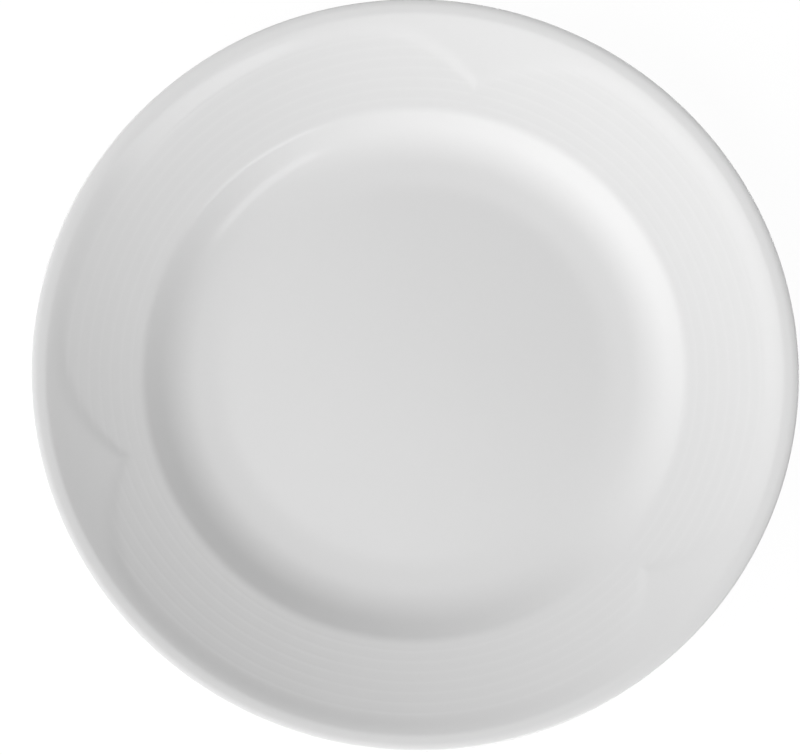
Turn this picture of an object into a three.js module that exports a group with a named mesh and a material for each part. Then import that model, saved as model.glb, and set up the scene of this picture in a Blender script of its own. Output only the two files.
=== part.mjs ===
// White porcelain dinner plate: a pressed body with a moulded rim, glazed all over but for the foot.
// Millimetres and degrees. +Z is up, the foot stands on z = 0 and one dart of the rim points along +Y.
import * as THREE from "three";

// Outline of the plate, measured over the glaze, from the edge in to the flat floor
const PLATE_DIAMETER = 250;
const PLATE_THICKNESS = 4.6;
const RIM_WIDTH = 35.4;
const LIP_SLOPE = 21.5;
const RIM_SLOPE = 14.5;
const SHOULDER_ROUNDING = 19.5;
const WALL_SLOPE = 26;
const WALL_WIDTH = 4;
const WALL_SWEEP = 34.5;
const DISH_SLOPE = 5.5;
const DISH_WIDTH = 8;

// Lip that runs round the edge: a flatter crown, rounded into the rim and over the edge
const LIP_WIDTH = 5.7;
const LIP_ROUNDING = 8;
const CROWN_SLOPE = 10;
const CROWN_WIDTH = 1.5;
const EDGE_ROUNDING = 0.7;
const EDGE_UNDER_WIDTH = 3;

// Moulded relief of the rim: three ribbed fields, sunk below three smooth darts and the lip
const FIELD_DEPTH = 0.22;
const BORDER_WIDTH = 6;
const RIB_MARGIN = 4;
const RIB_PITCH = 3.33;
const RIB_HEIGHT = 0.08;
const DART_COUNT = 3;
const DART_LENGTH = 20.1;
const DART_SIDE_RADIUS = 52;
const DART_SLOPE_WIDTH = 5;
const DART_STEM_WIDTH = 2;

// Foot ring, with its bearing face and the strips beside it wiped bare of glaze
const FOOT_HEIGHT = 2.8;
const FOOT_WIDTH = 5.2;
const FOOT_INSET = 18.6;
const FOOT_FILLET = 0.8;
const FOOT_BEVEL = 0.6;
const BARE_HEIGHT = 1.1;

// Glaze coat
const GLAZE_THICKNESS = 0.3;

// Fineness of the mesh
const PLATEAU_STEPS = 2;
const FIELD_STEPS = 10;
const SWEEP_STEPS = 3;
const UNDERSIDE_STEPS = 2;

// Radii and levels that follow from the sizes above
const rimSlope = THREE.MathUtils.degToRad(RIM_SLOPE);
const lipSlope = THREE.MathUtils.degToRad(LIP_SLOPE);
const crownSlope = THREE.MathUtils.degToRad(CROWN_SLOPE);
const wallSlope = THREE.MathUtils.degToRad(WALL_SLOPE);
const dishSlope = THREE.MathUtils.degToRad(DISH_SLOPE);
const plateRadius = PLATE_DIAMETER / 2;
const shoulderRadius = plateRadius - RIM_WIDTH;
const shoulderRun = SHOULDER_ROUNDING * (Math.sin(wallSlope) - Math.sin(rimSlope));
const wallEnd = shoulderRadius - shoulderRun / 2;
const rimStart = shoulderRadius + shoulderRun / 2;
const sweepCentre = wallEnd - WALL_WIDTH - WALL_SWEEP * Math.sin(wallSlope);
const floorRadius = sweepCentre + WALL_SWEEP * Math.sin(dishSlope) - DISH_WIDTH;
const floorLevel = FOOT_HEIGHT + PLATE_THICKNESS;
const sweepLevel = floorLevel + DISH_WIDTH * Math.tan(dishSlope) + WALL_SWEEP * Math.cos(dishSlope);
const wallEndLevel = sweepLevel - WALL_SWEEP * Math.cos(wallSlope) + WALL_WIDTH * Math.tan(wallSlope);
const rimStartLevel = wallEndLevel + SHOULDER_ROUNDING * (Math.cos(rimSlope) - Math.cos(wallSlope));
const lipLine = plateRadius - LIP_WIDTH;
const rimSweep = (lipLine - rimStart) / (Math.sin(lipSlope) - Math.sin(rimSlope));
const dartTip = lipLine - DART_LENGTH;
const footOuter = shoulderRadius - FOOT_INSET;
const footInner = footOuter - FOOT_WIDTH;

// Columns round the plate: each dart has its own, and the rest share out the ribbed field
const thirdColumns = 2 * PLATEAU_STEPS + 2 + FIELD_STEPS;
const columnCount = DART_COUNT * thirdColumns;
const thirdAngle = (2 * Math.PI) / DART_COUNT;
const dartBearing = Math.PI / 2;

// Points of the face in the section, each with its slope. The rim is slightly hollow and gets
// steeper towards the lip, the shoulder is rounded and the wall comes up from the floor in a sweep.
function rimPoint(radius) {
  const slope = Math.asin(Math.sin(rimSlope) + (radius - rimStart) / rimSweep);
  const height = rimStartLevel + rimSweep * (Math.cos(rimSlope) - Math.cos(slope));
  return { radius, height, slope };
}

function shoulderPoint(slope) {
  const radius = wallEnd + SHOULDER_ROUNDING * (Math.sin(wallSlope) - Math.sin(slope));
  const height = wallEndLevel + SHOULDER_ROUNDING * (Math.cos(slope) - Math.cos(wallSlope));
  return { radius, height, slope };
}

function sweepPoint(slope) {
  const radius = sweepCentre + WALL_SWEEP * Math.sin(slope);
  const height = sweepLevel - WALL_SWEEP * Math.cos(slope);
  return { radius, height, slope };
}

// One ring of the profile. "facing" is the direction of the surface in the section, where 0 is
// outwards and 90 degrees is up. The lifts raise the ribbed field and the darts above the profile.
// "follow" is 1 where the columns run along the sides of the darts and 0 where they are evenly spaced.
function profileRow(radius, height, facing, relief = {}) {
  const { fieldLift = 0, dartLift = 0, follow = 0 } = relief;
  return { radius, height, facing, fieldLift, dartLift, follow };
}

function faceRow(point, relief) {
  return profileRow(point.radius, point.height, Math.PI / 2 + point.slope, relief);
}

// The underside runs parallel to the face, one plate thickness below it
function undersideRow(point) {
  const outwards = PLATE_THICKNESS * Math.sin(point.slope);
  const down = PLATE_THICKNESS * Math.cos(point.slope);
  return profileRow(point.radius + outwards, point.height - down, point.slope - Math.PI / 2);
}

function arcRow(centreRadius, centreHeight, rounding, facing) {
  const radius = centreRadius + rounding * Math.cos(facing);
  return profileRow(radius, centreHeight + rounding * Math.sin(facing), facing);
}

// Recess inside the foot: from the centre of the base out to where the glaze stops on the foot
function baseRows() {
  const cornerOut = FOOT_FILLET * Math.SQRT1_2;
  const cornerDown = FOOT_FILLET * (1 - Math.SQRT1_2);
  const flatEnd = footInner - FOOT_FILLET;
  return [
    profileRow(0, FOOT_HEIGHT, -Math.PI / 2),
    profileRow(flatEnd, FOOT_HEIGHT, -Math.PI / 2),
    profileRow(flatEnd + cornerOut, FOOT_HEIGHT - cornerDown, -0.75 * Math.PI),
    profileRow(footInner, FOOT_HEIGHT - FOOT_FILLET, -Math.PI),
    profileRow(footInner, BARE_HEIGHT, -Math.PI),
  ];
}

// Bare bearing face of the foot, given as the surface of the body
function bearingRows() {
  const inner = footInner + GLAZE_THICKNESS;
  const outer = footOuter - GLAZE_THICKNESS;
  return [
    profileRow(inner, FOOT_BEVEL, -Math.PI),
    profileRow(inner + FOOT_BEVEL, 0, -Math.PI / 2),
    profileRow(outer - FOOT_BEVEL, 0, -Math.PI / 2),
    profileRow(outer, FOOT_BEVEL, 0),
  ];
}

// Outside of the foot and the underside, from where the glaze stops up to the edge
function undersideRows() {
  const reach = WALL_SWEEP + PLATE_THICKNESS;
  const footTop = footOuter + FOOT_FILLET;
  const footShare = THREE.MathUtils.clamp((footTop - sweepCentre) / reach, 0, Math.sin(wallSlope));
  const footSlope = Math.asin(footShare);
  const junction = sweepLevel - reach * Math.cos(footSlope);
  const corner = FOOT_FILLET * (1 - Math.SQRT1_2);
  const rows = [
    profileRow(footOuter, BARE_HEIGHT, 0),
    profileRow(footOuter, junction - FOOT_FILLET, 0),
    profileRow(footOuter + corner, junction - corner, -Math.PI / 4),
    profileRow(footTop, junction, footSlope - Math.PI / 2),
  ];
  for (let step = 1; step <= UNDERSIDE_STEPS; step += 1) {
    const slope = THREE.MathUtils.lerp(footSlope, wallSlope, step / UNDERSIDE_STEPS);
    rows.push(undersideRow(sweepPoint(slope)));
  }
  rows.push(undersideRow(shoulderPoint(wallSlope)));
  rows.push(undersideRow(rimPoint(rimStart)));
  rows.push(undersideRow(rimPoint((rimStart + lipLine) / 2)));
  return rows;
}

// Lip, from the underside round the edge and over the crown to the line where the rim begins
function lipRows() {
  const line = rimPoint(lipLine);
  line.height += FIELD_DEPTH;
  const innerCentre = lipLine + LIP_ROUNDING * Math.sin(lipSlope);
  const innerLevel = line.height - LIP_ROUNDING * Math.cos(lipSlope);
  const outerCentre = innerCentre + CROWN_WIDTH;
  const outerLevel = innerLevel + CROWN_WIDTH * Math.tan(crownSlope);
  const edgeCentre = plateRadius - EDGE_ROUNDING;
  const smaller = LIP_ROUNDING - EDGE_ROUNDING;
  const crownFacing = Math.PI / 2 + crownSlope;
  const outerFacing = Math.acos(THREE.MathUtils.clamp((edgeCentre - outerCentre) / smaller, -1, 1));
  const edgeLevel = outerLevel + smaller * Math.sin(outerFacing);
  const underEnd = plateRadius - EDGE_UNDER_WIDTH - PLATE_THICKNESS * Math.sin(lipSlope);
  const under = undersideRow(rimPoint(underEnd));
  const cornerLevel = under.height + (plateRadius - under.radius) * Math.tan(lipSlope);
  const turn = new THREE.QuadraticBezierCurve(
    new THREE.Vector2(under.radius, under.height),
    new THREE.Vector2(plateRadius, cornerLevel),
    new THREE.Vector2(plateRadius, edgeLevel),
  );
  const turnMiddle = turn.getPoint(0.5);
  const turnFacing = turn.getTangent(0.5).angle() - Math.PI / 2;
  return [
    under,
    profileRow(turnMiddle.x, turnMiddle.y, turnFacing),
    arcRow(edgeCentre, edgeLevel, EDGE_ROUNDING, 0),
    arcRow(edgeCentre, edgeLevel, EDGE_ROUNDING, outerFacing / 2),
    arcRow(outerCentre, outerLevel, LIP_ROUNDING, outerFacing),
    arcRow(outerCentre, outerLevel, LIP_ROUNDING, crownFacing),
    arcRow(innerCentre, innerLevel, LIP_ROUNDING, crownFacing),
    faceRow(line),
  ];
}

// Height of a dart above the sunk field: it grows along the stem and is full from the tip outwards
function dartLift(radius) {
  return FIELD_DEPTH * THREE.MathUtils.clamp((radius - rimStart) / (dartTip - rimStart), 0, 1);
}

// Height of the field's border, which comes up in an easy curve to meet the lip
function borderLift(radius) {
  return FIELD_DEPTH * THREE.MathUtils.smoothstep(radius, lipLine - BORDER_WIDTH, lipLine);
}

function rimRow(radius, ribLift) {
  const fieldLift = ribLift + borderLift(radius);
  return faceRow(rimPoint(radius), { fieldLift, dartLift: dartLift(radius), follow: 1 });
}

// Rim between the lip and the shoulder: the plain border, then the ribs, crest and groove in turn
function rimRows() {
  const space = lipLine - RIB_MARGIN - rimStart;
  const ribCount = Math.max(1, Math.floor(space / RIB_PITCH));
  const outermost = rimStart + (space + ribCount * RIB_PITCH) / 2;
  const rows = [];
  for (const share of [2 / 3, 1 / 3, 0]) {
    rows.push(rimRow(THREE.MathUtils.lerp(outermost, lipLine, share), 0));
  }
  for (let rib = 0; rib < ribCount; rib += 1) {
    rows.push(rimRow(outermost - RIB_PITCH * (rib + 0.5), RIB_HEIGHT));
    rows.push(rimRow(outermost - RIB_PITCH * (rib + 1), 0));
  }
  return rows;
}

// Shoulder, wall, dished ring and flat floor of the well, in to the centre
function wellRows() {
  const points = [shoulderPoint((wallSlope + rimSlope) / 2), shoulderPoint(wallSlope)];
  for (let step = SWEEP_STEPS; step >= 0; step -= 1) {
    points.push(sweepPoint(THREE.MathUtils.lerp(dishSlope, wallSlope, step / SWEEP_STEPS)));
  }
  points.push({ radius: floorRadius, height: floorLevel, slope: dishSlope / 2 });
  points.push({ radius: 0, height: floorLevel, slope: 0 });
  const columnsFollow = (radius) => Math.max(0, (radius - floorRadius) / (rimStart - floorRadius));
  return points.map((point) => faceRow(point, { follow: columnsFollow(point.radius) }));
}

// Half the angle a dart spans at a radius. Its sides are arcs that touch the lip line.
function dartHalfAngle(radius) {
  const centreDistance = lipLine - DART_SIDE_RADIUS;
  const arcAngle = (at) => {
    const top = at * at + centreDistance * centreDistance - DART_SIDE_RADIUS * DART_SIDE_RADIUS;
    return Math.acos(THREE.MathUtils.clamp(top / (2 * at * centreDistance), -1, 1));
  };
  return Math.max(0, arcAngle(dartTip) - arcAngle(Math.max(radius, dartTip)));
}

// Angle of a column from the middle of its dart, along the sides of the darts
function followingAngle(column, radius) {
  const stem = DART_STEM_WIDTH / 2 / radius;
  const slopeHalf = DART_SLOPE_WIDTH / 2 / radius;
  const side = dartHalfAngle(radius);
  const plateau = Math.max(stem, side - slopeHalf);
  const foot = Math.max(stem, side) + slopeHalf;
  if (column <= PLATEAU_STEPS) return (plateau * column) / PLATEAU_STEPS;
  if (column > thirdColumns / 2) return thirdAngle - followingAngle(thirdColumns - column, radius);
  return foot + ((thirdAngle - 2 * foot) * (column - PLATEAU_STEPS - 1)) / FIELD_STEPS;
}

function onDart(column) {
  return column <= PLATEAU_STEPS || column >= thirdColumns - PLATEAU_STEPS;
}

// Ring of points for a profile row, sunk below the finished surface by "cover"
function ringOf(row, rank, cover) {
  if (row.radius === 0) {
    const height = row.height - Math.sin(row.facing) * cover;
    return { rank, points: [new THREE.Vector3(0, 0, height)] };
  }
  const points = [];
  for (let index = 0; index < columnCount; index += 1) {
    const column = index % thirdColumns;
    const third = Math.floor(index / thirdColumns);
    const even = (thirdAngle * column) / thirdColumns;
    const following = row.follow > 0 ? followingAngle(column, row.radius) : even;
    const angle = dartBearing + third * thirdAngle + THREE.MathUtils.lerp(even, following, row.follow);
    const lift = (onDart(column) ? row.dartLift : row.fieldLift) - cover;
    const radius = row.radius + Math.cos(row.facing) * lift;
    const height = row.height + Math.sin(row.facing) * lift;
    points.push(new THREE.Vector3(radius * Math.cos(angle), radius * Math.sin(angle), height));
  }
  return { rank, points };
}

// Triangles between two rings. A quad is split along the same diagonal from either side.
function joinRings(first, second, triangles) {
  const pick = (ring, index) => ring.start + (ring.points.length === 1 ? 0 : index % columnCount);
  for (let index = 0; index < columnCount; index += 1) {
    const a = pick(first, index);
    const b = pick(first, index + 1);
    const c = pick(second, index + 1);
    const d = pick(second, index);
    if (a === b) triangles.push(a, c, d);
    else if (c === d) triangles.push(a, b, c);
    else if (second.rank >= first.rank) triangles.push(a, b, c, a, c, d);
    else triangles.push(a, b, d, b, c, d);
  }
}

// Closed surface through rings that begin and end on the axis
function loft(rings) {
  const positions = [];
  const triangles = [];
  for (const ring of rings) {
    ring.start = positions.length / 3;
    for (const point of ring.points) positions.push(point.x, point.y, point.z);
  }
  for (let index = 1; index < rings.length; index += 1) {
    joinRings(rings[index - 1], rings[index], triangles);
  }
  const geometry = new THREE.BufferGeometry();
  geometry.setAttribute("position", new THREE.Float32BufferAttribute(positions, 3));
  geometry.setIndex(triangles);
  geometry.computeVertexNormals();
  return geometry;
}

// The whole section, from the centre of the base round to the centre of the floor
const base = baseRows();
const bearing = bearingRows();
const coat = [...undersideRows(), ...lipRows(), ...rimRows(), ...wellRows()];

function baseRings(cover) {
  return base.map((row, index) => ringOf(row, index, cover));
}

function bearingRings() {
  return bearing.map((row, index) => ringOf(row, base.length + index, 0));
}

function coatRings(cover) {
  return coat.map((row, index) => ringOf(row, base.length + bearing.length + index, cover));
}

const biscuit = new THREE.MeshStandardMaterial({ name: "porcelain", color: 0xe9e6df, roughness: 0.85 });
const glaze = new THREE.MeshStandardMaterial({ name: "glaze", color: 0xf4f4f2, roughness: 0.12 });

function porcelainBody() {
  const rings = [...baseRings(GLAZE_THICKNESS), ...bearingRings(), ...coatRings(GLAZE_THICKNESS)];
  return namedMesh("porcelain_body", loft(rings), biscuit);
}

function faceGlaze() {
  const rings = [...coatRings(GLAZE_THICKNESS).reverse(), ...coatRings(0)];
  return namedMesh("face_glaze", loft(rings), glaze);
}

function baseGlaze() {
  const rings = [...baseRings(0), ...baseRings(GLAZE_THICKNESS).reverse()];
  return namedMesh("base_glaze", loft(rings), glaze);
}

function namedMesh(name, geometry, material) {
  const mesh = new THREE.Mesh(geometry, material);
  mesh.name = name;
  return mesh;
}

const plate = new THREE.Group();
plate.name = "flat_plate";
plate.add(porcelainBody(), faceGlaze(), baseGlaze());

export default plate;
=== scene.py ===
"""A white porcelain dinner plate with a moulded rim, and the plain studio that it is shown in.

The plate is made of three pieces, in metres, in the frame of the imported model: the biscuit body, the glaze
over the face and underside, and the glaze inside the foot ring. All three are one section turned about the
plate's axis, so one Geometry Nodes tree makes them and lifts the ribs and darts of the rim.
"""

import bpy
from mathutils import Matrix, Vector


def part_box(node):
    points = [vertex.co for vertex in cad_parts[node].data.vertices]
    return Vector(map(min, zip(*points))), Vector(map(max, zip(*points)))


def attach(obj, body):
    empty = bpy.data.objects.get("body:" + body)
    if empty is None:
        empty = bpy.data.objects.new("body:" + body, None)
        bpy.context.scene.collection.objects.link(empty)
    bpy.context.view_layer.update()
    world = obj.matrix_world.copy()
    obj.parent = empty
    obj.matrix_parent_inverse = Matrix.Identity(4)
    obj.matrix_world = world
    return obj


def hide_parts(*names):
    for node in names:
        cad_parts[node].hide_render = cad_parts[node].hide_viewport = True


bl_info = {
    "name": "Porcelain Dinner Plate",
    "version": (1, 0, 0),
    "blender": (4, 5, 0),
    "location": "3D View > Sidebar > Plate",
    "description": "Builds a glazed porcelain plate with a ribbed rim, and a studio to show it in",
    "category": "Add Mesh",
}

import math
from typing import NamedTuple

import bpy
from bpy.props import FloatProperty, FloatVectorProperty, IntProperty, PointerProperty
from mathutils import Matrix, Vector

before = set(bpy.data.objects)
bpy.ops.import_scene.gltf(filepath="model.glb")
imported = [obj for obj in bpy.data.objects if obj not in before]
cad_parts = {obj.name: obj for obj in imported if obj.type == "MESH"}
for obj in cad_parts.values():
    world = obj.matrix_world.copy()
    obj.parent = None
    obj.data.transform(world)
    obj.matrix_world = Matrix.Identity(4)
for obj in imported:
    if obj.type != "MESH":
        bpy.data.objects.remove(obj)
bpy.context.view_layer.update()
FACE_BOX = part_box("face_glaze")
BASE_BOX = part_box("base_glaze")
BODY_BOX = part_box("porcelain_body")

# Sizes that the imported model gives
PLATE_DIAMETER = FACE_BOX[1].x - FACE_BOX[0].x
GLAZE_THICKNESS = (PLATE_DIAMETER - (BODY_BOX[1].x - BODY_BOX[0].x)) / 2
BARE_HEIGHT = FACE_BOX[0].z
FOOT_HEIGHT = BASE_BOX[1].z - GLAZE_THICKNESS
FOOT_INNER_DIAMETER = BASE_BOX[1].x - BASE_BOX[0].x - 2 * GLAZE_THICKNESS

BODY = "root"
COLUMNS = 480
BEAD_STEPS = 4

# Turns from outwards in the section, and from +X in plan
UP = math.pi / 2
DOWN = -math.pi / 2
FRONT = -math.pi / 2


def length(name, description, default):
    """A size that the user can change, in metres."""
    return FloatProperty(
        name=name, description=description, default=default, min=0.0, precision=5, unit="LENGTH"
    )


def angle(name, description, degrees):
    """An angle that the user can change, kept in radians."""
    return FloatProperty(
        name=name, description=description, default=math.radians(degrees), subtype="ANGLE"
    )


def share(name, description, default):
    """A share between nothing and all."""
    return FloatProperty(
        name=name, description=description, default=default, min=0.0, max=1.0, subtype="FACTOR"
    )


def colour(name, description, default):
    """A linear colour."""
    return FloatVectorProperty(
        name=name, description=description, default=default, min=0.0, max=1.0, subtype="COLOR"
    )


class PlateOutline(bpy.types.PropertyGroup):
    """Section of the plate, measured over the glaze."""

    diameter: length("Diameter", "Across the whole plate", PLATE_DIAMETER)
    thickness: length("Thickness", "From the face to the underside", 0.0046)
    dish_width: length("Dish width", "Gentle slope round the flat floor, seen from above", 0.008)
    dish_slope: angle("Dish slope", "Gentle rise between the flat floor and the hollow", 5.5)
    floor_rounding: length("Floor rounding", "Radius where the flat floor turns up", 0.070)
    wall_sweep: length("Wall sweep", "Radius of the hollow below the wall", 0.0345)
    wall_slope: angle("Wall slope", "Straight part of the wall of the well", 26.0)
    wall_width: length("Wall width", "Straight part of the wall, seen from above", 0.0040)
    shoulder_rounding: length("Shoulder rounding", "Radius between the wall and the rim", 0.0150)
    rim_width: length("Rim width", "From the edge in to the shoulder", 0.0354)
    rim_slope: angle("Rim slope", "Rise of the rim beside the shoulder", 14.5)
    lip_slope: angle("Lip slope", "Rise of the rim at the line of the lip", 21.5)
    lip_width: length("Lip width", "From the edge in to the line of the lip", 0.0057)
    lip_rounding: length("Lip rounding", "Radius on either side of the crown of the lip", 0.0080)
    crown_slope: angle("Crown slope", "Rise of the crown of the lip", 10)
    crown_width: length("Crown width", "Straight part of the crown, seen from above", 0.0015)
    edge_rounding: length("Edge rounding", "Radius of the top of the edge", 0.0007)
    edge_under_width: length("Edge width below", "How far in the edge is rounded below", 0.0030)


class RimRelief(bpy.types.PropertyGroup):
    """Moulded relief of the rim: ribbed fields, sunk below smooth darts and the lip."""

    field_depth: length("Field depth", "How far the ribbed fields lie below the darts", 0.00022)
    border_width: length("Border width", "Sloping strip from the ribs up to the lip", 0.0060)
    rib_pitch: length("Rib pitch", "From one rib to the next", 0.00333)
    rib_height: length("Rib height", "From groove to crest", 0.000020)
    rib_margin: length("Rib margin", "Plain strip between the ribs and the line of the lip", 0.0040)
    dart_count: IntProperty(name="Darts", description="Smooth darts round the rim", default=3, min=1)
    dart_length: length("Dart length", "From the line of the lip in to the tip", 0.0201)
    dart_side_radius: length("Dart side radius", "Arc of a dart's side, seen from above", 0.052)
    dart_tip_slope: length("Slope at the tip", "Width of the slope along a dart's side, at its tip", 0.0038)
    dart_lip_slope: length("Slope at the lip", "Width of that slope where it meets the lip", 0.008)
    plain_width: length("Plain strip width", "Strip without ribs, from a dart's tip to the shoulder", 0.007)


class FootRing(bpy.types.PropertyGroup):
    """Foot ring, and the glaze that stops on it."""

    height: length("Height", "From the bearing face up to the glazed recess", FOOT_HEIGHT)
    inner_diameter: length("Inner diameter", "Across the glazed recess", FOOT_INNER_DIAMETER)
    width: length("Width", "Thickness of the ring, over the glaze", 0.0052)
    fillet: length("Fillet", "Radius where the ring meets the underside", 0.0008)
    bevel: length("Bevel", "Eased edges of the bearing face", 0.0006)
    bare_height: length("Bare height", "Strip that is wiped clean of glaze", BARE_HEIGHT)
    glaze_thickness: length("Glaze thickness", "Thickness of the coat", GLAZE_THICKNESS)


class PlateFinish(bpy.types.PropertyGroup):
    """Colours and surface of the glaze and the biscuit."""

    glaze_colour: colour("Glaze", "White of the body seen through the glaze", (0.832, 0.832, 0.832))
    crest_colour: colour("Crest colour", "Lighter colour on the crests of the ribs", (0.86, 0.86, 0.86))
    crest_share: share("Crest share", "How much of the crest colour shows on the rib crests", 0.5)
    glaze_roughness: share("Glaze roughness", "Blur of the reflections", 0.13)
    biscuit_colour: colour("Biscuit", "Bare porcelain of the foot", (0.79, 0.78, 0.755))
    worn_colour: colour("Worn biscuit", "Foot greyed by standing on tables", (0.66, 0.65, 0.625))
    biscuit_roughness: share("Biscuit roughness", "Dullness of the bare foot", 0.82)


class StudioSettings(bpy.types.PropertyGroup):
    """Camera, light and floor."""

    camera_azimuth: angle("Camera azimuth", "Where the camera stands, from the front", 9.55)
    camera_elevation: angle("Camera elevation", "Height of the camera above the table", 78.387)
    camera_turn: angle("Picture turn", "Bearing that points up in the picture", 102.2)
    camera_distance: length("Camera distance", "From the point in the middle", 0.6865)
    camera_aim: FloatVectorProperty(
        name="Camera aim",
        description="Point in the middle of the picture",
        default=(-0.00404, -0.00447, 0.0154),
        unit="LENGTH",
        subtype="XYZ",
    )
    lens: FloatProperty(name="Lens", description="Focal length in millimetres", default=93.85)
    key_bearing: angle("Key bearing", "Direction that the main light comes from", 234.5)
    key_elevation: angle("Key elevation", "Height of the main light", 31)
    key_distance: length("Key distance", "From the plate to the main light", 0.85)
    key_width: length("Key width", "Width of the soft main light", 2.3)
    key_height: length("Key height", "Height of the soft main light", 0.85)
    key_power: FloatProperty(name="Key power", description="Watts", default=18.0, min=0.0)
    window_bearing: angle("Window bearing", "Direction of the window that the glaze mirrors", -19.5)
    window_elevation: angle("Window elevation", "Height of the window", 67.3)
    window_distance: length("Window distance", "From the plate to the window", 1.0)
    window_width: length("Window width", "Width of the window", 0.32)
    window_height: length("Window height", "Height of the window", 0.14)
    window_power: FloatProperty(name="Window power", description="Watts", default=0.25, min=0.0)
    card_bearing: angle("Card bearing", "Direction of the low card behind the plate", 55)
    card_elevation: angle("Card elevation", "Height of the card", 2.15)
    card_distance: length("Card distance", "From the plate's middle to the card", 0.32)
    card_width: length("Card width", "Width of the card", 0.7)
    card_height: length("Card height", "Height of the card", 0.02)
    card_power: FloatProperty(name="Card power", description="Watts", default=0.42, min=0.0)
    surround: FloatProperty(name="Surround", description="Light of the studio", default=0.215, min=0.0)
    floor_colour: colour("Floor", "Pale floor", (0.86, 0.86, 0.86))


class Row(NamedTuple):
    """One ring of the section.

    It faces outwards at 0 and upwards at UP. The rim's relief lifts it if its own relief is 1.
    """

    radius: float
    height: float
    facing: float
    relief: float = 0.0

    def sunk(self, cover):
        """The same ring, under a coat of that thickness."""
        return self._replace(
            radius=self.radius - math.cos(self.facing) * cover,
            height=self.height - math.sin(self.facing) * cover,
        )


class Detail(NamedTuple):
    """How many rows each stretch of the section gets."""

    sweep: int
    shoulder: int
    fillet: int
    edge: int
    crown: int
    border: int
    rib: int


SKIN = Detail(sweep=10, shoulder=6, fillet=4, edge=8, crown=5, border=6, rib=8)
UNDER_SKIN = Detail(sweep=4, shoulder=2, fillet=2, edge=3, crown=2, border=2, rib=2)


def steps(start, end, count):
    """Evenly spaced values from start to end, both included."""
    return [start + (end - start) * index / count for index in range(count + 1)]


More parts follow.
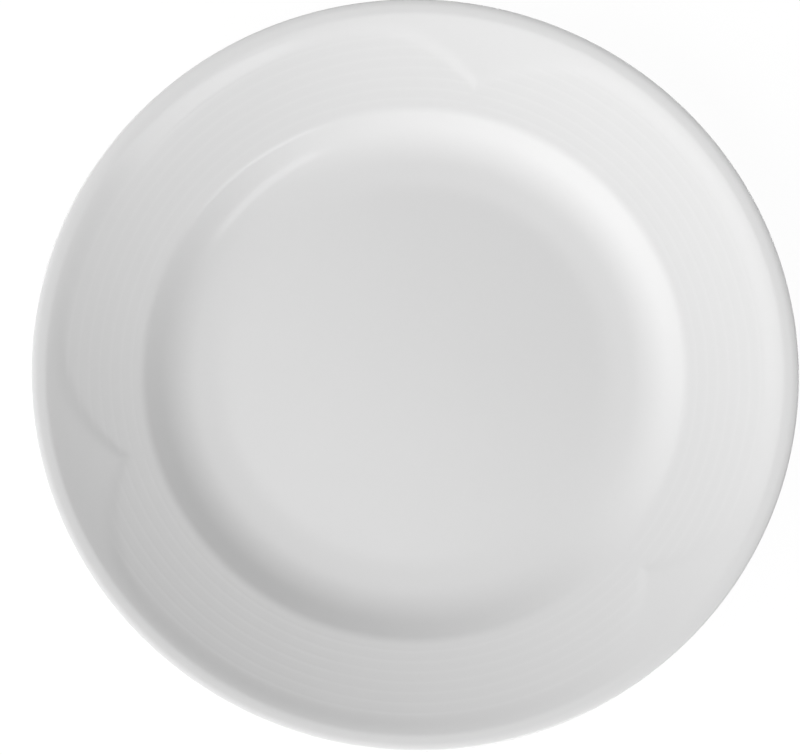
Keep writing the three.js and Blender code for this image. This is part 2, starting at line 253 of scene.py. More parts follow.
class PlateSection:
    """Radii, levels and rows of the plate's section, worked out from the sizes in the panel."""

    def __init__(self, scene):
        self.plate = scene.plate_outline
        self.relief = scene.plate_relief
        self.foot = scene.plate_foot
        plate, relief, foot = self.plate, self.relief, self.foot
        self.edge = plate.diameter / 2
        shoulder = self.edge - plate.rim_width
        run = plate.shoulder_rounding * (math.sin(plate.wall_slope) - math.sin(plate.rim_slope))
        rise = plate.shoulder_rounding * (math.cos(plate.rim_slope) - math.cos(plate.wall_slope))
        self.wall_end = shoulder - run / 2
        self.rim_start = shoulder + run / 2
        sweep_end = self.wall_end - plate.wall_width
        self.sweep_centre = sweep_end - plate.wall_sweep * math.sin(plate.wall_slope)
        dish_end = self.sweep_centre + plate.wall_sweep * math.sin(plate.dish_slope)
        self.floor_radius = dish_end - plate.dish_width
        self.floor_level = foot.height + plate.thickness
        dish_level = self.floor_level + plate.dish_width * math.tan(plate.dish_slope)
        self.sweep_level = dish_level + plate.wall_sweep * math.cos(plate.dish_slope)
        sweep_end_level = self.sweep_level - plate.wall_sweep * math.cos(plate.wall_slope)
        self.wall_end_level = sweep_end_level + plate.wall_width * math.tan(plate.wall_slope)
        self.rim_start_level = self.wall_end_level + rise
        self.lip_line = self.edge - plate.lip_width
        rim_run = self.lip_line - self.rim_start
        self.rim_sweep = rim_run / (math.sin(plate.lip_slope) - math.sin(plate.rim_slope))
        self.border_start = self.lip_line - relief.border_width
        rib_space = rim_run - relief.rib_margin
        self.rib_count = max(1, math.floor(rib_space / relief.rib_pitch))
        self.rib_start = self.rim_start + (rib_space - self.rib_count * relief.rib_pitch) / 2
        self.rib_end = self.rib_start + self.rib_count * relief.rib_pitch
        self.dart_tip = self.lip_line - relief.dart_length
        self.foot_inner = foot.inner_diameter / 2
        self.foot_outer = self.foot_inner + foot.width

    def dart_spread(self):
        """Angle from the middle of a dart to where its side touches the line of the lip."""
        side = self.relief.dart_side_radius
        centre = self.lip_line - side
        top = self.dart_tip**2 + centre**2 - side**2
        return math.acos(top / (2 * self.dart_tip * centre))

    def rim_row(self, radius, depth=0.0, relief=0.0):
        """The rim, slightly hollow, or its underside at that depth below."""
        start = self.plate.rim_slope
        slope = math.asin(math.sin(start) + (radius - self.rim_start) / self.rim_sweep)
        level = self.rim_start_level + self.rim_sweep * (math.cos(start) - math.cos(slope))
        out = radius + depth * math.sin(slope)
        return Row(out, level - depth * math.cos(slope), slope + (DOWN if depth else UP), relief)

    def sweep_row(self, slope, depth):
        """The hollow between floor and wall, or the underside at that depth below it."""
        reach = self.plate.wall_sweep + depth
        radius = self.sweep_centre + reach * math.sin(slope)
        height = self.sweep_level - reach * math.cos(slope)
        return Row(radius, height, slope + (DOWN if depth else UP))

    def floor_row(self, slope):
        """The turn from the flat floor to the gentle slope round it."""
        plate = self.plate
        before = plate.floor_rounding * math.tan(plate.dish_slope / 2)
        radius = self.floor_radius - before + plate.floor_rounding * math.sin(slope)
        height = self.floor_level + plate.floor_rounding * (1 - math.cos(slope))
        return Row(radius, height, slope + UP)

    def shoulder_row(self, slope, depth):
        """The rounded shoulder, or the underside at that depth below it."""
        plate = self.plate
        reach = plate.shoulder_rounding - depth
        top = plate.shoulder_rounding
        radius = self.wall_end + top * math.sin(plate.wall_slope) - reach * math.sin(slope)
        height = self.wall_end_level - top * math.cos(plate.wall_slope) + reach * math.cos(slope)
        return Row(radius, height, slope + (DOWN if depth else UP))

    def base(self, detail):
        """Recess inside the foot: from its centre out to where the glaze stops on the foot."""
        fillet = self.foot.fillet
        flat_end = self.foot_inner - fillet
        rows = [Row(0, self.foot.height, DOWN)]
        for turn in steps(0, UP, detail.fillet):
            out = fillet * math.sin(turn)
            down = fillet * (1 - math.cos(turn))
            rows.append(Row(flat_end + out, self.foot.height - down, DOWN - turn))
        rows.append(Row(self.foot_inner, self.foot.bare_height, -math.pi))
        return rows

    def bearing(self, detail):
        """Bare bearing face of the foot, with eased edges."""
        bevel = self.foot.bevel
        inner = self.foot_inner + self.foot.glaze_thickness
        outer = self.foot_outer - self.foot.glaze_thickness
        rows = []
        for turn in steps(0, UP, detail.fillet):
            across = bevel * (1 - math.cos(turn))
            down = bevel * (1 - math.sin(turn))
            rows.append(Row(inner + across, down, -math.pi + turn))
        return rows + [
            Row(inner + outer - row.radius, row.height, math.pi - row.facing) for row in reversed(rows)
        ]

    def underside(self, detail):
        """Outside of the foot and the underside, from where the glaze stops up to the rim."""
        plate, foot = self.plate, self.foot
        foot_top = self.foot_outer + foot.fillet
        reach = plate.wall_sweep + plate.thickness
        foot_slope = math.asin((foot_top - self.sweep_centre) / reach)
        junction = self.sweep_row(foot_slope, plate.thickness).height
        rows = [Row(self.foot_outer, foot.bare_height, 0)]
        for turn in steps(0, UP, detail.fillet)[:-1]:
            out = foot.fillet * (1 - math.cos(turn))
            down = foot.fillet * (1 - math.sin(turn))
            rows.append(Row(self.foot_outer + out, junction - down, -turn))
        for slope in steps(foot_slope, plate.wall_slope, detail.sweep):
            rows.append(self.sweep_row(slope, plate.thickness))
        for slope in steps(plate.wall_slope, plate.rim_slope, detail.shoulder):
            rows.append(self.shoulder_row(slope, plate.thickness))
        for radius in steps(self.rim_start, self.border_start, detail.border)[1:]:
            rows.append(self.rim_row(radius, plate.thickness))
        return rows

    def under_edge(self, under, edge_level, detail):
        """The turn from the end of the underside up to the outermost point of the edge."""
        corner_level = under.height + (self.edge - under.radius) * math.tan(self.plate.lip_slope)
        start = Vector((under.radius, under.height))
        corner = Vector((self.edge, corner_level))
        end = Vector((self.edge, edge_level))
        rows = []
        for along in steps(0, 1, detail.edge)[:-1]:
            first = start.lerp(corner, along)
            second = corner.lerp(end, along)
            point = first.lerp(second, along)
            heading = second - first
            rows.append(Row(point.x, point.y, math.atan2(heading.y, heading.x) + DOWN))
        return rows

    def lip(self, detail):
        """Lip, from the underside round the edge and over the crown to the line where the rim begins."""
        plate = self.plate
        roll, tight = plate.lip_rounding, plate.edge_rounding
        lip_facing, crown_facing = UP + plate.lip_slope, UP + plate.crown_slope
        line_level = self.rim_row(self.lip_line).height + self.relief.field_depth
        inner_centre = self.lip_line + roll * math.sin(plate.lip_slope)
        inner_level = line_level - roll * math.cos(plate.lip_slope)
        outer_centre = inner_centre + plate.crown_width
        outer_level = inner_level + plate.crown_width * math.tan(plate.crown_slope)
        edge_centre = self.edge - tight
        outer_facing = math.acos((edge_centre - outer_centre) / (roll - tight))
        edge_level = outer_level + (roll - tight) * math.sin(outer_facing)
        under_end = self.edge - plate.edge_under_width - plate.thickness * math.sin(plate.lip_slope)
        under = self.rim_row(under_end, plate.thickness)

        def arc(centre, level, radius, start, end, count):
            return [
                Row(centre + radius * math.cos(turn), level + radius * math.sin(turn), turn)
                for turn in steps(start, end, count)
            ]

        rows = self.under_edge(under, edge_level, detail)
        rows += arc(edge_centre, edge_level, tight, 0, outer_facing, detail.edge)[:-1]
        rows += arc(outer_centre, outer_level, roll, outer_facing, crown_facing, detail.crown)
        return rows + arc(inner_centre, inner_level, roll, crown_facing, lip_facing, detail.crown)

    def rim(self, detail):
        """Rim from the line of the lip in to the shoulder, as it lies before the relief lifts it."""
        border = steps(self.lip_line, self.rib_end, detail.border)[1:]
        ribs = steps(self.rib_end, self.rib_start, self.rib_count * detail.rib)[1:]
        return [self.rim_row(radius, relief=1.0) for radius in border + ribs]

    def well(self, detail):
        """Shoulder, wall and floor of the well, in to its centre."""
        plate = self.plate
        rim, wall, dish = plate.rim_slope, plate.wall_slope, plate.dish_slope
        rows = [self.shoulder_row(slope, 0) for slope in steps(rim, wall, detail.shoulder)]
        rows += [self.sweep_row(slope, 0) for slope in steps(wall, dish, detail.sweep)]
        rows += [self.floor_row(slope) for slope in steps(dish, 0, detail.fillet)]
        rows.append(Row(self.floor_radius / 2, self.floor_level, UP))
        rows.append(Row(0, self.floor_level, UP))
        return rows

    def coat(self, detail):
        """The whole outside that the face glaze covers."""
        return self.underside(detail) + self.lip(detail) + self.rim(detail) + self.well(detail)

    def bead(self, row):
        """Rounded end of the glaze below a row of its outside, turned from that row's side to the body's."""
        radius = self.foot.glaze_thickness / 2
        centre = row.sunk(radius)
        side = math.cos(row.facing)
        return [
            Row(centre.radius + side * radius * math.cos(turn), centre.height + radius * math.sin(turn), turn)
            for turn in steps(0, -math.pi, BEAD_STEPS)[1:-1]
        ]

    def face_glaze(self):
        """Closed section of the coat over the face and the underside."""
        skin = self.coat(SKIN)
        under = [row.sunk(self.foot.glaze_thickness) for row in self.coat(UNDER_SKIN)]
        return under[::-1] + self.bead(skin[0])[::-1] + skin

    def base_glaze(self):
        """Closed section of the coat inside the foot ring."""
        skin = self.base(SKIN)
        under = [row.sunk(self.foot.glaze_thickness) for row in self.base(UNDER_SKIN)]
        return skin + self.bead(skin[-1]) + under[::-1]

    def body(self):
        """Closed section of the biscuit body."""
        cover = self.foot.glaze_thickness
        base = [row.sunk(cover) for row in self.base(UNDER_SKIN)]
        coat = [row.sunk(cover) for row in self.coat(UNDER_SKIN)]
        return base + self.bearing(SKIN) + coat


# Sockets of the Mix node, by number because it uses the same names for each kind of value
MIX_NUMBERS = (2, 3)
MIX_COLOURS = (6, 7)
MIXED_COLOUR = 2


class Sheet:
    """A node tree while it is being drawn, from left to right."""

    STEP = 190

    def __init__(self, tree):
        self.tree = tree
        self.column = 0

    def add(self, kind, inputs=None, **settings):
        """Adds a node, sets it up and wires its inputs, which are values or other nodes' outputs."""
        node = self.tree.nodes.new(kind)
        node.location = (self.column * self.STEP, 0)
        self.column += 1
        for name, value in settings.items():
            setattr(node, name, value)
        for name, value in (inputs or {}).items():
            self.wire(node.inputs[name], value)
        return node

    def wire(self, socket, value):
        """Links another node's output to a socket, or sets the socket to a value."""
        if isinstance(value, bpy.types.NodeSocket):
            self.tree.links.new(value, socket)
        else:
            socket.default_value = value

    def calc(self, operation, *values):
        """A sum, product or other math node on one to three values."""
        node = self.add("ShaderNodeMath", dict(enumerate(values)), operation=operation)
        return node.outputs[0]

    def smooth(self, value, start, end):
        """0 below start, 1 above end, and an easy curve between."""
        inputs = {"Value": value, "From Min": start, "From Max": end}
        node = self.add("ShaderNodeMapRange", inputs, interpolation_type="SMOOTHSTEP")
        return node.outputs["Result"]

    def clamped_share(self, value, start, end):
        """How far value is on its way from start to end, between 0 and 1."""
        inputs = {"Value": value, "From Min": start, "From Max": end}
        return self.add("ShaderNodeMapRange", inputs, clamp=True).outputs["Result"]

    def mix(self, factor, first, second):
        """The first number at factor 0, the second at factor 1."""
        inputs = {0: factor, **dict(zip(MIX_NUMBERS, (first, second)))}
        return self.add("ShaderNodeMix", inputs).outputs[0]

    def noise(self, place, scale, detail):
        """Smooth noise between 0 and 1, with finer waves added for more detail."""
        inputs = {"Vector": place, "Scale": scale, "Detail": detail}
        return self.add("ShaderNodeTexNoise", inputs).outputs[0]


REVOLVE_NAME = "Revolve with moulded rim"
REVOLVE_INPUTS = {
    "Section": "NodeSocketObject",
    "Columns": "NodeSocketInt",
    "Rib Start": "NodeSocketFloat",
    "Rib Pitch": "NodeSocketFloat",
    "Rib Count": "NodeSocketFloat",
    "Rib Height": "NodeSocketFloat",
    "Field Depth": "NodeSocketFloat",
    "Border Start": "NodeSocketFloat",
    "Lip Line": "NodeSocketFloat",
    "Dart Count": "NodeSocketFloat",
    "Dart Tip": "NodeSocketFloat",
    "Dart Spread": "NodeSocketFloat",
    "Dart Side Radius": "NodeSocketFloat",
    "Dart Tip Slope": "NodeSocketFloat",
    "Dart Lip Slope": "NodeSocketFloat",
    "Plain Width": "NodeSocketFloat",
    "Material": "NodeSocketMaterial",
}
RIB_SHARPNESS = 4
DART_BEARING = math.pi / 2
DART_CROWDING = 0.55
SEAM_DISTANCE = 1e-6


def dart_masks(sheet, size, radius, bearing):
    """1 on a dart and 0 off it, with a soft slope between, and the same for all that carries no ribs."""
    calc = sheet.calc
    half_turn = calc("DIVIDE", math.pi, size["Dart Count"])
    turned = calc("SUBTRACT", bearing, DART_BEARING)
    folded = calc("ABSOLUTE", calc("WRAP", turned, half_turn, calc("MULTIPLY", half_turn, -1)))
    along = calc("MULTIPLY", radius, calc("COSINE", folded))
    aside = calc("MULTIPLY", radius, calc("SINE", folded))
    centre = calc("SUBTRACT", size["Lip Line"], size["Dart Side Radius"])
    along_centre = calc("SUBTRACT", along, calc("MULTIPLY", centre, calc("COSINE", size["Dart Spread"])))
    aside_centre = calc("SUBTRACT", aside, calc("MULTIPLY", centre, calc("SINE", size["Dart Spread"])))
    squares = calc("MULTIPLY_ADD", along_centre, along_centre, calc("MULTIPLY", aside_centre, aside_centre))
    past_side = calc("SUBTRACT", calc("SQRT", squares), size["Dart Side Radius"])
    past_lip = calc("SUBTRACT", radius, size["Lip Line"])
    beyond = calc("GREATER_THAN", folded, size["Dart Spread"])
    past = sheet.mix(beyond, past_side, past_lip)
    along_side = sheet.clamped_share(radius, size["Dart Tip"], size["Lip Line"])
    slope_width = sheet.mix(along_side, size["Dart Tip Slope"], size["Dart Lip Slope"])
    half_slope = calc("MULTIPLY", slope_width, 0.5)
    dart = sheet.smooth(past, calc("MULTIPLY", half_slope, -1), half_slope)
    half_strip = calc("MULTIPLY", size["Plain Width"], 0.5)
    strip = calc("SUBTRACT", 1, sheet.smooth(aside, 0, half_strip))
    return dart, calc("MAXIMUM", dart, strip)


def rim_lift(sheet, size, radius, dart, plain):
    """Height of the rim's relief, and how near a point lies to the crest of a rib."""
    calc = sheet.calc
    from_start = calc("DIVIDE", calc("SUBTRACT", radius, size["Rib Start"]), size["Rib Pitch"])
    turns = calc("MINIMUM", calc("MAXIMUM", from_start, 0), size["Rib Count"])
    up_flank = calc("DIVIDE", calc("PINGPONG", turns, 0.5), 0.5)
    crest = calc("MULTIPLY", calc("POWER", up_flank, RIB_SHARPNESS), calc("SUBTRACT", 1, plain))
    rib = calc("MULTIPLY", size["Rib Height"], crest)
    climb = sheet.smooth(radius, size["Border Start"], size["Lip Line"])
    border = calc("MULTIPLY", size["Field Depth"], climb)
    field = calc("ADD", rib, border)
    return sheet.mix(dart, field, size["Field Depth"]), crest


def revolve_tree():
    """Geometry Nodes tree that turns a section about Z and lifts the rows that carry the rim's relief."""
    tree = bpy.data.node_groups.new(REVOLVE_NAME, "GeometryNodeTree")
    tree.is_modifier = True
    for name, kind in REVOLVE_INPUTS.items():
        tree.interface.new_socket(name, in_out="INPUT", socket_type=kind)
    tree.interface.new_socket("Geometry", in_out="OUTPUT", socket_type="NodeSocketGeometry")
    sheet = Sheet(tree)
    calc = sheet.calc
    size = sheet.add("NodeGroupInput").outputs
    section = sheet.add("GeometryNodeObjectInfo", {"Object": size["Section"]}).outputs["Geometry"]
    rows = sheet.add("GeometryNodeAttributeDomainSize", {"Geometry": section}, component="MESH")
    row_count = rows.outputs["Point Count"]
    grid = sheet.add(
        "GeometryNodeMeshGrid",
        {"Vertices X": calc("ADD", size["Columns"], 1), "Vertices Y": row_count},
    )
    index = sheet.add("GeometryNodeInputIndex").outputs[0]
    row = calc("MODULO", index, row_count)
    column = calc("FLOOR", calc("DIVIDE", index, row_count))
    even = calc("MULTIPLY", calc("DIVIDE", column, size["Columns"]), 2 * math.pi)
    from_dart = calc("MULTIPLY", calc("SUBTRACT", even, DART_BEARING), size["Dart Count"])
    drawn_in = calc("DIVIDE", calc("MULTIPLY", calc("SINE", from_dart), DART_CROWDING), size["Dart Count"])
    bearing = calc("SUBTRACT", even, drawn_in)

    def sampled(field, data_type):
        inputs = {"Geometry": section, "Value": field, "Index": row}
        return sheet.add("GeometryNodeSampleIndex", inputs, data_type=data_type).outputs[0]

    def stored(name, data_type):
        return sheet.add("GeometryNodeInputNamedAttribute", {"Name": name}, data_type=data_type).outputs[0]

    place = sampled(sheet.add("GeometryNodeInputPosition").outputs[0], "FLOAT_VECTOR")
    place = sheet.add("ShaderNodeSeparateXYZ", {0: place}).outputs
    facing = sampled(stored("facing", "FLOAT_VECTOR"), "FLOAT_VECTOR")
    facing = sheet.add("ShaderNodeSeparateXYZ", {0: facing}).outputs
    carries_relief = sampled(stored("relief", "FLOAT"), "FLOAT")
    radius = place["X"]
    dart, plain = dart_masks(sheet, size, radius, bearing)
    lift, crest = rim_lift(sheet, size, radius, dart, plain)
    lift = calc("MULTIPLY", lift, carries_relief)
    crest = calc("MULTIPLY", crest, carries_relief)
    lifted_radius = calc("MULTIPLY_ADD", facing["X"], lift, radius)
    lifted_height = calc("MULTIPLY_ADD", facing["Z"], lift, place["Z"])
    turned = {
        "X": calc("MULTIPLY", lifted_radius, calc("COSINE", bearing)),
        "Y": calc("MULTIPLY", lifted_radius, calc("SINE", bearing)),
        "Z": lifted_height,
    }
    position = sheet.add("ShaderNodeCombineXYZ", turned).outputs[0]
    shape = sheet.add(
        "GeometryNodeStoreNamedAttribute",
        {"Geometry": grid.outputs["Mesh"], "Name": "crest", "Value": crest},
    ).outputs[0]
    shape = sheet.add("GeometryNodeSetPosition", {"Geometry": shape, "Position": position}).outputs[0]
    seam = {"Geometry": shape, "Distance": SEAM_DISTANCE}
    shape = sheet.add("GeometryNodeMergeByDistance", seam).outputs[0]
    shape = sheet.add("GeometryNodeSetShadeSmooth", {"Geometry": shape}).outputs[0]
    shape = sheet.add("GeometryNodeRealizeInstances", {"Geometry": shape}).outputs[0]
    material = {"Geometry": shape, "Material": size["Material"]}
    shape = sheet.add("GeometryNodeSetMaterial", material).outputs[0]
    sheet.add("NodeGroupOutput", {"Geometry": shape})
    return tree


def section_object(name, rows):
    """The section as a line of points, which carry the way they face and whether the relief lifts them."""
    mesh = bpy.data.meshes.new(name)
    points = [(row.radius, 0, row.height) for row in rows]
    edges = [(index, index + 1) for index in range(len(rows) - 1)]
    mesh.from_pydata(points, edges, [])
    mesh.attributes.new("facing", "FLOAT_VECTOR", "POINT")
    mesh.attributes.new("relief", "FLOAT", "POINT")
    facing = mesh.attributes["facing"].data
    relief = mesh.attributes["relief"].data
    for index, row in enumerate(rows):
        facing[index].vector = (math.cos(row.facing), 0, math.sin(row.facing))
        relief[index].value = row.relief
    return bpy.data.objects.new(name, mesh)


def revolved_piece(scene, name, section, rows, material):
    """One closed piece: the section's rows turned about the plate's axis, as a plain mesh."""
    tree = bpy.data.node_groups.get(REVOLVE_NAME) or revolve_tree()
    profile = section_object(name + "_section", rows)
    relief = scene.plate_relief
    values = {
        "Section": profile,
        "Columns": COLUMNS,
        "Rib Start": section.rib_start,
        "Rib Pitch": relief.rib_pitch,
        "Rib Count": float(section.rib_count),
        "Rib Height": relief.rib_height,
        "Field Depth": relief.field_depth,
        "Border Start": section.border_start,
        "Lip Line": section.lip_line,
        "Dart Count": float(relief.dart_count),
        "Dart Tip": section.dart_tip,
        "Dart Spread": section.dart_spread(),
        "Dart Side Radius": relief.dart_side_radius,
        "Dart Tip Slope": relief.dart_tip_slope,
        "Dart Lip Slope": relief.dart_lip_slope,
        "Plain Width": relief.plain_width,
        "Material": material,
    }
    piece = bpy.data.objects.new(name, bpy.data.meshes.new(name))
    scene.collection.objects.link(piece)
    modifier = piece.modifiers.new("Revolve", "NODES")
    modifier.node_group = tree
    for item in tree.interface.items_tree:
        if item.in_out == "INPUT":
            modifier[item.identifier] = values[item.name]
    piece.update_tag()
    depsgraph = bpy.context.evaluated_depsgraph_get()
    mesh = bpy.data.meshes.new_from_object(piece.evaluated_get(depsgraph))
    piece.modifiers.remove(modifier)
    piece.data = mesh
    mesh.name = name
    bpy.data.objects.remove(profile)
    if not mesh.polygons:
        raise RuntimeError(f"{name} came out empty")
    return piece


TONE_DETAIL = {"Cloud": 2.0, "Grain": 3.0}
NOISE_MIDDLE = 0.5


def shader_group(name, floats, output):
    """An empty shader group with a vector, some float inputs and one float output, and its sheet."""
    tree = bpy.data.node_groups.new(name, "ShaderNodeTree")
    tree.interface.new_socket("Vector", in_out="INPUT", socket_type="NodeSocketVector")
    for socket in floats:
        tree.interface.new_socket(socket, in_out="INPUT", socket_type="NodeSocketFloat")
    tree.interface.new_socket(output, in_out="OUTPUT", socket_type="NodeSocketFloat")
    return Sheet(tree)


def kiln_tone_group():
    """Slow and fine changes of tone, as a factor near 1."""
    name = "Kiln tone"
    if name in bpy.data.node_groups:
        return bpy.data.node_groups[name]
    sheet = shader_group(name, ("Cloud Scale", "Cloud Amount", "Grain Scale", "Grain Amount"), "Tone")
    given = sheet.add("NodeGroupInput").outputs
    tone = 1.0
    for kind, detail in TONE_DETAIL.items():
        wave = sheet.noise(given["Vector"], given[f"{kind} Scale"], detail)
        change = sheet.calc("SUBTRACT", wave, NOISE_MIDDLE)
        tone = sheet.calc("MULTIPLY_ADD", change, given[f"{kind} Amount"], tone)
    sheet.add("NodeGroupOutput", {"Tone": tone})
    return sheet.tree


def kiln_specks_group():
    """Rare dark specks from the firing, as a mask."""
    name = "Kiln specks"
    if name in bpy.data.node_groups:
        return bpy.data.node_groups[name]
    sheet = shader_group(name, ("Scale", "Share", "Size"), "Mask")
    given = sheet.add("NodeGroupInput").outputs
    cells = sheet.add("ShaderNodeTexVoronoi", {"Vector": given["Vector"], "Scale": given["Scale"]})
    near = sheet.calc("SUBTRACT", 1, sheet.smooth(cells.outputs["Distance"], 0, given["Size"]))
    chance = sheet.add("ShaderNodeSeparateColor", {0: cells.outputs["Color"]}).outputs[0]
    chosen = sheet.calc("LESS_THAN", chance, given["Share"])
    sheet.add("NodeGroupOutput", {"Mask": sheet.calc("MULTIPLY", near, chosen)})
    return sheet.tree


def surface_ripple_group():
    """Height of a surface that is wavy at one scale and grainy at a finer one."""
    name = "Surface ripple"
    if name in bpy.data.node_groups:
        return bpy.data.node_groups[name]
    sheet = shader_group(name, ("Wave Scale", "Grain Scale", "Grain Share"), "Height")
    given = sheet.add("NodeGroupInput").outputs
    wave = sheet.noise(given["Vector"], given["Wave Scale"], detail=1.0)
    grain = sheet.noise(given["Vector"], given["Grain Scale"], detail=2.0)
    sheet.add("NodeGroupOutput", {"Height": sheet.mix(given["Grain Share"], wave, grain)})
    return sheet.tree


class Finish:
    """A material with a Principled shader, and the shared groups placed in it."""

    def __init__(self, name):
        self.material = bpy.data.materials.new(name)
        self.material.use_nodes = True
        self.sheet = Sheet(self.material.node_tree)
        nodes = self.material.node_tree.nodes
        self.shader = next(node for node in nodes if node.type == "BSDF_PRINCIPLED")
        self.place = self.sheet.add("ShaderNodeTexCoord").outputs["Object"]

    def group(self, tree, **values):
        """Places a shared group, with its own values, and gives its output."""
        node = self.sheet.add("ShaderNodeGroup", node_tree=tree)
        self.sheet.wire(node.inputs["Vector"], self.place)
        for name, value in values.items():
            node.inputs[name.replace("_", " ").title()].default_value = value
        return node.outputs[0]

    def blend(self, factor, first, second):
        """The first colour at factor 0, the second at factor 1."""
        node = self.sheet.add("ShaderNodeMix", {0: factor}, data_type="RGBA")
        for number, tint in zip(MIX_COLOURS, (first, second)):
            linked = isinstance(tint, bpy.types.NodeSocket)
            self.sheet.wire(node.inputs[number], tint if linked else (*tint, 1))
        return node.outputs[MIXED_COLOUR]

    def toned(self, base, tone):
        """A colour made lighter or darker by a factor."""
        node = self.sheet.add("ShaderNodeVectorMath", {0: base}, operation="SCALE")
        self.sheet.wire(node.inputs["Scale"], tone)
        return node.outputs[0]

    def bump(self, height, distance, strength):
        """Normal of a surface whose height, from 0 to 1, spans that distance."""
        inputs = {"Height": height, "Distance": distance, "Strength": strength}
        return self.sheet.add("ShaderNodeBump", inputs).outputs[0]

    def connect(self, **sockets):
        """Wires the shader's sockets, which are named in lower case with underscores."""
        for name, value in sockets.items():
            socket = name.replace("_", " ").title().replace("Ior", "IOR")
            self.sheet.wire(self.shader.inputs[socket], value)


SPECK_STRENGTH = 0.5
WORN_HEIGHT = 0.0004
WORN_PATCHES = (0.85, 1.35)


def glaze_material(finish):
    """Clear glossy glaze over white porcelain, a touch whiter on the crests of the ribs."""
    name = "clear_glaze"
    if name in bpy.data.materials:
        return bpy.data.materials[name]
    made = Finish(name)
    sheet = made.sheet
    crest = sheet.add("ShaderNodeAttribute", attribute_name="crest").outputs["Fac"]
    # Base colour made a touch whiter towards the crests of the ribs, by the crest mask
    crest_tint = sheet.calc("MULTIPLY", crest, finish.crest_share)
    tone = made.group(
        kiln_tone_group(), cloud_scale=14.0, cloud_amount=0.02, grain_scale=900.0, grain_amount=0.012
    )
    white = made.toned(made.blend(crest_tint, finish.glaze_colour, finish.crest_colour), tone)
    specks = made.group(kiln_specks_group(), scale=70.0, share=0.012, size=0.02)
    dark_speck = sheet.calc("MULTIPLY", specks, SPECK_STRENGTH)
    smudge = made.group(
        kiln_tone_group(), cloud_scale=35.0, cloud_amount=0.35, grain_scale=260.0, grain_amount=0.2
    )
    ripple = made.group(surface_ripple_group(), wave_scale=70.0, grain_scale=420.0, grain_share=0.12)
    made.connect(
        base_color=made.blend(dark_speck, white, finish.worn_colour),
        roughness=sheet.calc("MULTIPLY", smudge, finish.glaze_roughness),
        ior=1.5,
        normal=made.bump(ripple, distance=0.00004, strength=0.6),
    )
    return made.material


def biscuit_material(finish):
    """Bare fired porcelain: dull, fine-grained, and greyed in patches where the foot has stood on tables."""
    name = "bare_biscuit"
    if name in bpy.data.materials:
        return bpy.data.materials[name]
    made = Finish(name)
    sheet = made.sheet
    tone = made.group(
        kiln_tone_group(), cloud_scale=60.0, cloud_amount=0.08, grain_scale=2400.0, grain_amount=0.12
    )
    height = sheet.add("ShaderNodeSeparateXYZ", {0: made.place}).outputs["Z"]
    low = sheet.calc("SUBTRACT", 1, sheet.smooth(height, 0.0, WORN_HEIGHT))
    patches = made.group(
        kiln_tone_group(), cloud_scale=220.0, cloud_amount=1.2, grain_scale=1500.0, grain_amount=0.5
    )
    worn = sheet.calc("MULTIPLY", low, sheet.smooth(patches, *WORN_PATCHES))
    clay = made.toned(made.blend(worn, finish.biscuit_colour, finish.worn_colour), tone)
    grain = made.group(surface_ripple_group(), wave_scale=900.0, grain_scale=3200.0, grain_share=0.6)
    made.connect(
        base_color=clay,
        roughness=sheet.calc("MULTIPLY", tone, finish.biscuit_roughness),
        ior=1.45,
        normal=made.bump(grain, distance=0.00006, strength=0.7),
    )
    return made.material


def add_to_plate(piece, node):
    """Fixes a finished piece to the plate in place of its plain solid."""
    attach(piece, BODY)
    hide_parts(node)


class PLATE_OT_make_body(bpy.types.Operator):
    """Make the biscuit body, which shows on the bare foot"""

    bl_idname = "plate.make_body"
    bl_label = "Porcelain body"

    def execute(self, context):
        section = PlateSection(context.scene)
        material = biscuit_material(context.scene.plate_finish)
        piece = revolved_piece(context.scene, "plate_body", section, section.body(), material)
        add_to_plate(piece, "porcelain_body")
        return {"FINISHED"}


class PLATE_OT_make_face_glaze(bpy.types.Operator):
    """Make the glaze over the face, the lip and the underside"""

    bl_idname = "plate.make_face_glaze"
    bl_label = "Face glaze"

    def execute(self, context):
        section = PlateSection(context.scene)
        material = glaze_material(context.scene.plate_finish)
        piece = revolved_piece(context.scene, "plate_face_glaze", section, section.face_glaze(), material)
        add_to_plate(piece, "face_glaze")
        return {"FINISHED"}


class PLATE_OT_make_base_glaze(bpy.types.Operator):
    """Make the glaze in the recess inside the foot ring"""

    bl_idname = "plate.make_base_glaze"
    bl_label = "Base glaze"

    def execute(self, context):
        section = PlateSection(context.scene)
        material = glaze_material(context.scene.plate_finish)
        piece = revolved_piece(context.scene, "plate_base_glaze", section, section.base_glaze(), material)
        add_to_plate(piece, "base_glaze")
        return {"FINISHED"}


def direction(bearing, elevation):
    """Unit vector at a bearing from +X and an elevation above the table."""
    level = math.cos(elevation)
    return Vector((level * math.cos(bearing), level * math.sin(bearing), math.sin(elevation)))


SENSOR_WIDTH = 36.0


def place_camera(scene, studio):
    """Camera at the photograph's angle, with the picture turned so that a chosen bearing points up."""
    data = bpy.data.cameras.new("camera")
    data.lens = studio.lens
    data.sensor_width = SENSOR_WIDTH
    camera = bpy.data.objects.new("camera", data)
    scene.collection.objects.link(camera)
    target = Vector(studio.camera_aim)
    back = direction(studio.camera_azimuth + FRONT, studio.camera_elevation)
    right = (-back).cross(direction(studio.camera_turn, 0.0)).normalized()
    up = back.cross(right)
    turn = Matrix((right, up, back)).transposed().to_4x4()
    camera.matrix_world = Matrix.Translation(target + back * studio.camera_distance) @ turn
    scene.camera = camera


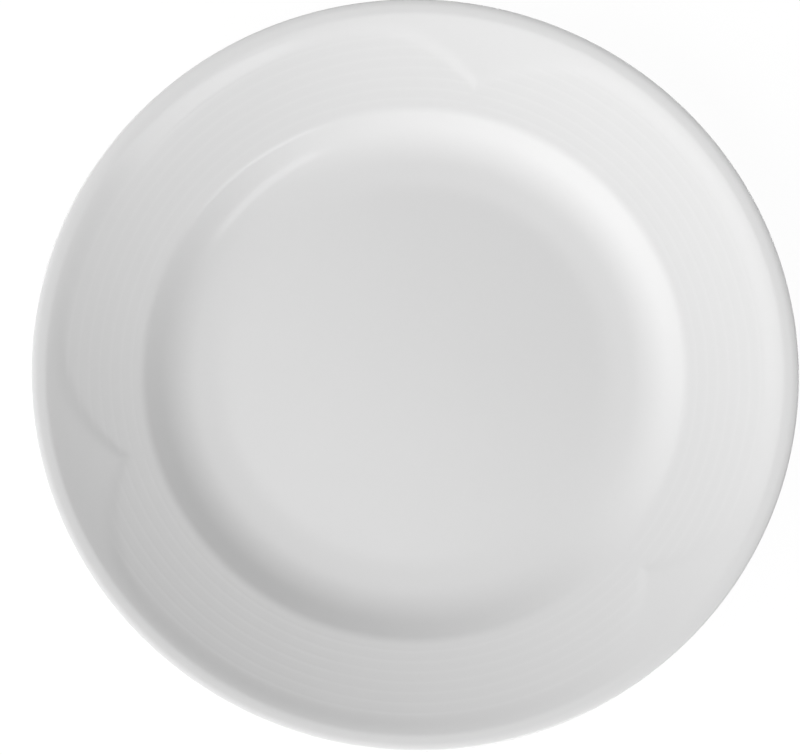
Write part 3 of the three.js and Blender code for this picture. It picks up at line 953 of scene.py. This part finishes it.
def add_light(scene, studio, name):
    """A flat soft light that faces the plate, from the settings that start with its name."""
    def setting(word):
        return getattr(studio, f"{name}_{word}")

    data = bpy.data.lights.new(name, "AREA")
    data.shape = "RECTANGLE"
    data.size = setting("width")
    data.size_y = setting("height")
    data.energy = setting("power")
    light = bpy.data.objects.new(name, data)
    scene.collection.objects.link(light)
    towards = direction(setting("bearing"), setting("elevation"))
    turn = towards.to_track_quat("Z", "Y").to_matrix().to_4x4()
    light.matrix_world = Matrix.Translation(towards * setting("distance")) @ turn
    light.visible_camera = False
    return light


def light_studio(scene, studio):
    """A wide soft light, a window mirrored in the glaze, a low card behind the edge, and a white studio."""
    add_light(scene, studio, "key").visible_glossy = False
    add_light(scene, studio, "window").visible_diffuse = False
    add_light(scene, studio, "card")
    world = bpy.data.worlds.new("studio")
    world.use_nodes = True
    scene.world = world
    sheet = Sheet(world.node_tree)
    strength = sheet.mix(seen_directly(sheet), studio.surround, 1.0)
    background = next(node for node in world.node_tree.nodes if node.type == "BACKGROUND")
    background.inputs["Color"].default_value = (1, 1, 1, 1)
    sheet.wire(background.inputs["Strength"], strength)


def seen_directly(sheet):
    """1 for rays of the camera, of reflections and through glass, 0 for light that falls on things."""
    path = sheet.add("ShaderNodeLightPath").outputs
    seen = sheet.calc("MAXIMUM", path["Is Camera Ray"], path["Is Glossy Ray"])
    return sheet.calc("MAXIMUM", seen, path["Is Transmission Ray"])


FLOOR_SIDE = 6.0
FLOOR_ROUGHNESS = 0.9
FLOOR_WHITE = 1.04
FLOOR_WHITE_SHARE = 0.92


def lay_floor(scene, studio):
    """Pale floor that looks white and keeps a soft shadow."""
    half = FLOOR_SIDE / 2
    corners = [(-half, -half, 0), (half, -half, 0), (half, half, 0), (-half, half, 0)]
    mesh = bpy.data.meshes.new("floor")
    mesh.from_pydata(corners, [], [(0, 1, 2, 3)])
    floor = bpy.data.objects.new("floor", mesh)
    scene.collection.objects.link(floor)
    material = bpy.data.materials.new("floor")
    material.use_nodes = True
    sheet = Sheet(material.node_tree)
    nodes = material.node_tree.nodes
    shader = next(node for node in nodes if node.type == "BSDF_PRINCIPLED")
    shader.inputs["Base Color"].default_value = (*studio.floor_colour, 1)
    shader.inputs["Roughness"].default_value = FLOOR_ROUGHNESS
    white = sheet.add("ShaderNodeEmission", {"Color": (1, 1, 1, 1), "Strength": FLOOR_WHITE})
    seen = sheet.calc("MULTIPLY", seen_directly(sheet), FLOOR_WHITE_SHARE)
    mixed = sheet.add("ShaderNodeMixShader", {0: seen, 1: shader.outputs[0], 2: white.outputs[0]})
    output = next(node for node in nodes if node.type == "OUTPUT_MATERIAL")
    sheet.wire(output.inputs["Surface"], mixed.outputs[0])
    mesh.materials.append(material)


class PLATE_OT_make_studio(bpy.types.Operator):
    """Set up the camera, the light and the floor"""

    bl_idname = "plate.make_studio"
    bl_label = "Studio"

    def execute(self, context):
        scene = context.scene
        scene.view_settings.view_transform = "Standard"
        place_camera(scene, scene.plate_studio)
        light_studio(scene, scene.plate_studio)
        lay_floor(scene, scene.plate_studio)
        return {"FINISHED"}


class PLATE_PT_panel(bpy.types.Panel):
    """Sizes, finishes and steps of the plate"""

    bl_idname = "PLATE_PT_panel"
    bl_label = "Porcelain plate"
    bl_space_type = "VIEW_3D"
    bl_region_type = "UI"
    bl_category = "Plate"

    def draw(self, context):
        for name in SCENE_GROUPS:
            group = getattr(context.scene, name)
            box = self.layout.box()
            for key in group.__annotations__:
                box.prop(group, key)
        for operator in OPERATORS:
            self.layout.operator(operator.bl_idname)


SCENE_GROUPS = {
    "plate_outline": PlateOutline,
    "plate_relief": RimRelief,
    "plate_foot": FootRing,
    "plate_finish": PlateFinish,
    "plate_studio": StudioSettings,
}
OPERATORS = (PLATE_OT_make_studio, PLATE_OT_make_body, PLATE_OT_make_face_glaze, PLATE_OT_make_base_glaze)
CLASSES = (*SCENE_GROUPS.values(), *OPERATORS, PLATE_PT_panel)


def register():
    for item in CLASSES:
        bpy.utils.register_class(item)
    for name, group in SCENE_GROUPS.items():
        setattr(bpy.types.Scene, name, PointerProperty(type=group))


def unregister():
    for name in SCENE_GROUPS:
        delattr(bpy.types.Scene, name)
    for item in reversed(CLASSES):
        bpy.utils.unregister_class(item)


def main():
    register()
    bpy.ops.plate.make_studio()
    bpy.ops.plate.make_body()
    bpy.ops.plate.make_face_glaze()
    bpy.ops.plate.make_base_glaze()


if __name__ == "__main__":
    main()
